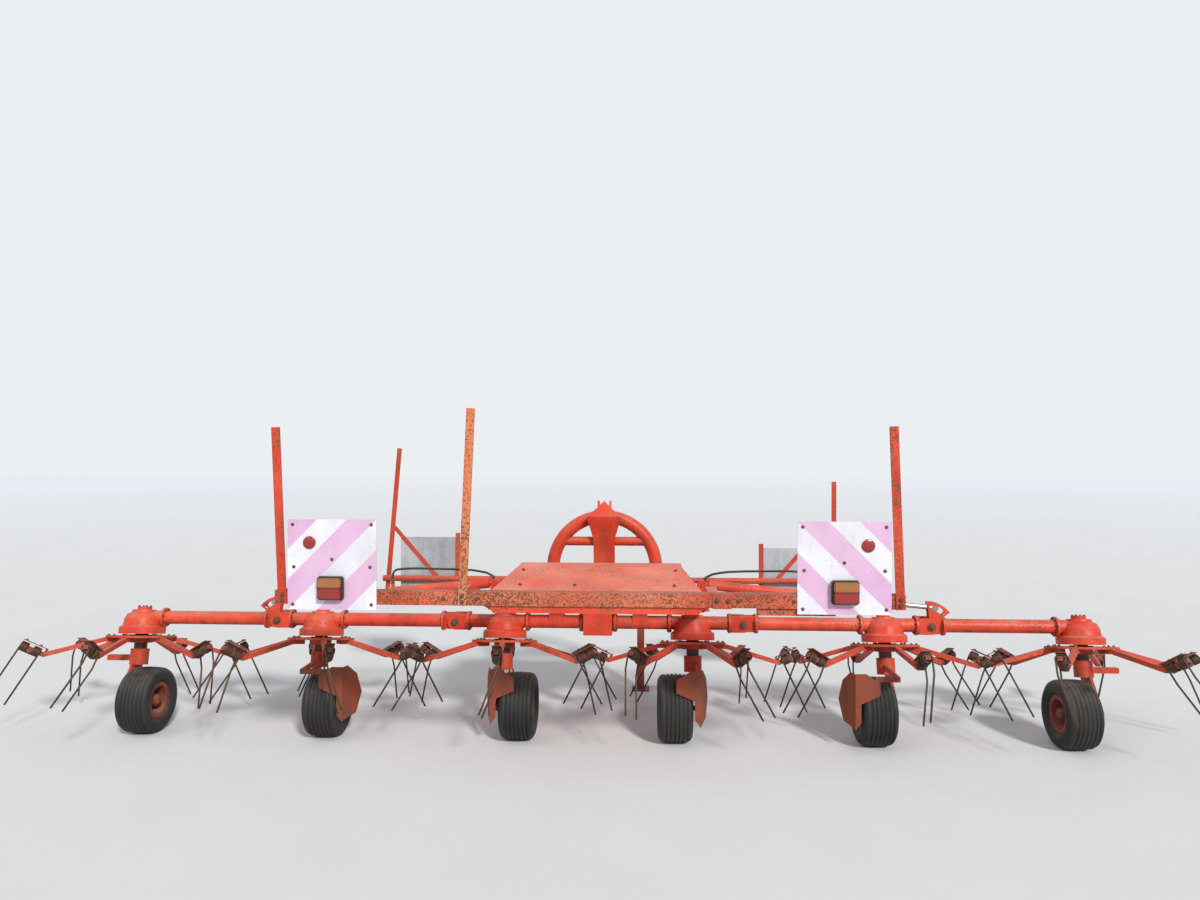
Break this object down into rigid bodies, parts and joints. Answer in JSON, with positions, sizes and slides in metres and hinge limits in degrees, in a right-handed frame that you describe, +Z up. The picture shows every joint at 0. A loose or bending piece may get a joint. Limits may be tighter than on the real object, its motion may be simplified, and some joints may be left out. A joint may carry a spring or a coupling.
{
  "type": "hay tedder",
  "caption": "Mounted rotary hay tedder: tined rotors on a folding beam, each over its own wheel, with a headstock and rear marker boards.",
  "frame": {"origin": "on the ground, under the middle of the overall box", "axes": "+X along the rotor beam to the machine's right, +Y the driving direction, +Z up"},
  "size_m": [7.0596, 2.1605, 1.872],
  "materials": {
    "red_paint": "faded tractor-red paint with chips",
    "worn_red": "worn red paint with brown rust",
    "tine_steel": "dark brown spring steel",
    "tyre": "black rubber, dusty",
    "hose": "black hydraulic hose",
    "rod": "plated piston rod",
    "marker_board": "white sheet with faded pink diagonal stripes",
    "board_back": "pale grey sheet, dull",
    "lamp": "amber and red lenses in a black case"
  },
  "bodies": {
    "frame": {"centre_frame": "red_paint", "headstock": "red_paint", "centre_beam": "red_paint", "hood": "red_paint", "guard_bar": "worn_red", "rear_posts": "red_paint", "rear_boards": "marker_board", "tail_lamps": "lamp", "board_rack": "red_paint", "front_boards": "board_back"},
    "leg": {"parking_leg": "worn_red"},
    "inner_beam_left": {"inner_beam_left": "red_paint"},
    "outer_beam_left": {"outer_beam_left": "red_paint"},
    "lift_barrel_left": {"lift_barrel_left": "red_paint", "lift_hose_left": "hose"},
    "lift_rod_left": {"lift_rod_left": "rod"},
    "inner_beam_right": {"inner_beam_right": "red_paint"},
    "outer_beam_right": {"outer_beam_right": "red_paint"},
    "lift_barrel_right": {"lift_barrel_right": "red_paint", "lift_hose_right": "hose"},
    "lift_rod_right": {"lift_rod_right": "rod"},
    "rotor_1": {"rotor_1": "red_paint", "tines_1": "tine_steel"},
    "fork_1": {"fork_1": "red_paint"},
    "wheel_1": {"rim_1": "worn_red", "tyre_1": "tyre"},
    "rotor_2": {"rotor_2": "red_paint", "tines_2": "tine_steel"},
    "fork_2": {"fork_2": "red_paint"},
    "wheel_2": {"rim_2": "worn_red", "tyre_2": "tyre"},
    "rotor_3": {"rotor_3": "red_paint", "tines_3": "tine_steel"},
    "fork_3": {"fork_3": "red_paint"},
    "wheel_3": {"rim_3": "worn_red", "tyre_3": "tyre"},
    "rotor_4": {"rotor_4": "red_paint", "tines_4": "tine_steel"},
    "fork_4": {"fork_4": "red_paint"},
    "wheel_4": {"rim_4": "worn_red", "tyre_4": "tyre"},
    "rotor_5": {"rotor_5": "red_paint", "tines_5": "tine_steel"},
    "fork_5": {"fork_5": "red_paint"},
    "wheel_5": {"rim_5": "worn_red", "tyre_5": "tyre"},
    "rotor_6": {"rotor_6": "red_paint", "tines_6": "tine_steel"},
    "fork_6": {"fork_6": "red_paint"},
    "wheel_6": {"rim_6": "worn_red", "tyre_6": "tyre"}
  },
  "joints": [
    {"name": "fold_left", "type": "hinge", "parent": "frame", "child": "inner_beam_left", "pos_m": [-0.91095, 0.16965, 0.637], "axis": [0, 1, 0], "range_deg": [0, 88]},
    {"name": "follow_ground_left", "type": "hinge", "parent": "inner_beam_left", "child": "outer_beam_left", "pos_m": [-2.00095, 0.16965, 0.637], "axis": [0, 1, 0], "range_deg": [-8, 25]},
    {"name": "lift_swing_left", "type": "hinge", "parent": "frame", "child": "lift_barrel_left", "pos_m": [-0.67095, 0.16965, 0.867], "axis": [0, 1, 0], "range_deg": [0, 84.5]},
    {"name": "lift_stroke_left", "type": "slide", "parent": "lift_barrel_left", "child": "lift_rod_left", "axis": [-0.9958, 0, -0.0915], "range_m": [-0.458, 0]},
    {"name": "fold_right", "type": "hinge", "parent": "frame", "child": "inner_beam_right", "pos_m": [0.80905, 0.16965, 0.637], "axis": [0, -1, 0], "range_deg": [0, 88]},
    {"name": "follow_ground_right", "type": "hinge", "parent": "inner_beam_right", "child": "outer_beam_right", "pos_m": [1.89905, 0.16965, 0.637], "axis": [0, -1, 0], "range_deg": [-8, 25]},
    {"name": "lift_swing_right", "type": "hinge", "parent": "frame", "child": "lift_barrel_right", "pos_m": [0.56905, 0.16965, 0.867], "axis": [0, -1, 0], "range_deg": [0, 84.5]},
    {"name": "lift_stroke_right", "type": "slide", "parent": "lift_barrel_right", "child": "lift_rod_right", "axis": [0.9958, 0, -0.0915], "range_m": [-0.458, 0]},
    {"name": "leg_swing", "type": "hinge", "parent": "frame", "child": "leg", "pos_m": [0.19905, 1.04965, 0.733], "axis": [1, 0, 0], "range_deg": [0, 90]},
    {"name": "spin_1", "type": "hinge", "parent": "outer_beam_left", "child": "rotor_1", "pos_m": [-2.86345, 0.16965, 0.637], "axis": [0, 0.2079, 0.9781], "continuous": true},
    {"name": "steer_1", "type": "hinge", "parent": "outer_beam_left", "child": "fork_1", "pos_m": [-2.86345, 0.1131, 0.37094], "axis": [0, 0.2079, 0.9781], "range_deg": [-30, 30]},
    {"name": "roll_1", "type": "hinge", "parent": "fork_1", "child": "wheel_1", "pos_m": [-2.72345, -0.0389, 0.19], "axis": [1, 0, 0], "continuous": true},
    {"name": "spin_2", "type": "hinge", "parent": "inner_beam_left", "child": "rotor_2", "pos_m": [-1.73845, 0.16965, 0.637], "axis": [0, 0.2079, 0.9781], "continuous": true},
    {"name": "steer_2", "type": "hinge", "parent": "inner_beam_left", "child": "fork_2", "pos_m": [-1.73845, 0.1131, 0.37094], "axis": [0, 0.2079, 0.9781], "range_deg": [-30, 30]},
    {"name": "roll_2", "type": "hinge", "parent": "fork_2", "child": "wheel_2", "pos_m": [-1.62645, -0.0389, 0.19], "axis": [1, 0, 0], "continuous": true},
    {"name": "spin_3", "type": "hinge", "parent": "frame", "child": "rotor_3", "pos_m": [-0.61345, 0.16965, 0.637], "axis": [0, 0.2079, 0.9781], "continuous": true},
    {"name": "steer_3", "type": "hinge", "parent": "frame", "child": "fork_3", "pos_m": [-0.61345, 0.1131, 0.37094], "axis": [0, 0.2079, 0.9781], "range_deg": [-30, 30]},
    {"name": "roll_3", "type": "hinge", "parent": "fork_3", "child": "wheel_3", "pos_m": [-0.50145, -0.0389, 0.19], "axis": [1, 0, 0], "continuous": true},
    {"name": "spin_4", "type": "hinge", "parent": "frame", "child": "rotor_4", "pos_m": [0.51155, 0.16965, 0.637], "axis": [0, 0.2079, 0.9781], "continuous": true},
    {"name": "steer_4", "type": "hinge", "parent": "frame", "child": "fork_4", "pos_m": [0.51155, 0.1131, 0.37094], "axis": [0, 0.2079, 0.9781], "range_deg": [-30, 30]},
    {"name": "roll_4", "type": "hinge", "parent": "fork_4", "child": "wheel_4", "pos_m": [0.39955, -0.0389, 0.19], "axis": [1, 0, 0], "continuous": true},
    {"name": "spin_5", "type": "hinge", "parent": "inner_beam_right", "child": "rotor_5", "pos_m": [1.63655, 0.16965, 0.637], "axis": [0, 0.2079, 0.9781], "continuous": true},
    {"name": "steer_5", "type": "hinge", "parent": "inner_beam_right", "child": "fork_5", "pos_m": [1.63655, 0.1131, 0.37094], "axis": [0, 0.2079, 0.9781], "range_deg": [-30, 30]},
    {"name": "roll_5", "type": "hinge", "parent": "fork_5", "child": "wheel_5", "pos_m": [1.52455, -0.0389, 0.19], "axis": [1, 0, 0], "continuous": true},
    {"name": "spin_6", "type": "hinge", "parent": "outer_beam_right", "child": "rotor_6", "pos_m": [2.76155, 0.16965, 0.637], "axis": [0, 0.2079, 0.9781], "continuous": true},
    {"name": "steer_6", "type": "hinge", "parent": "outer_beam_right", "child": "fork_6", "pos_m": [2.76155, 0.1131, 0.37094], "axis": [0, 0.2079, 0.9781], "range_deg": [-30, 30]},
    {"name": "roll_6", "type": "hinge", "parent": "fork_6", "child": "wheel_6", "pos_m": [2.62155, -0.0389, 0.19], "axis": [1, 0, 0], "continuous": true}
  ],
  "couplings": [
    {"joint": "lift_swing_left", "follows": "fold_left", "ratio": 0.957},
    {"joint": "lift_stroke_left", "follows": "fold_left", "m_per_rad": -0.29685},
    {"joint": "lift_swing_right", "follows": "fold_right", "ratio": 0.957},
    {"joint": "lift_stroke_right", "follows": "fold_right", "m_per_rad": -0.29685},
    {"joint": "spin_1", "follows": "spin_3", "ratio": 1},
    {"joint": "spin_2", "follows": "spin_3", "ratio": -1},
    {"joint": "spin_4", "follows": "spin_3", "ratio": -1},
    {"joint": "spin_5", "follows": "spin_3", "ratio": 1},
    {"joint": "spin_6", "follows": "spin_3", "ratio": -1}
  ]
}
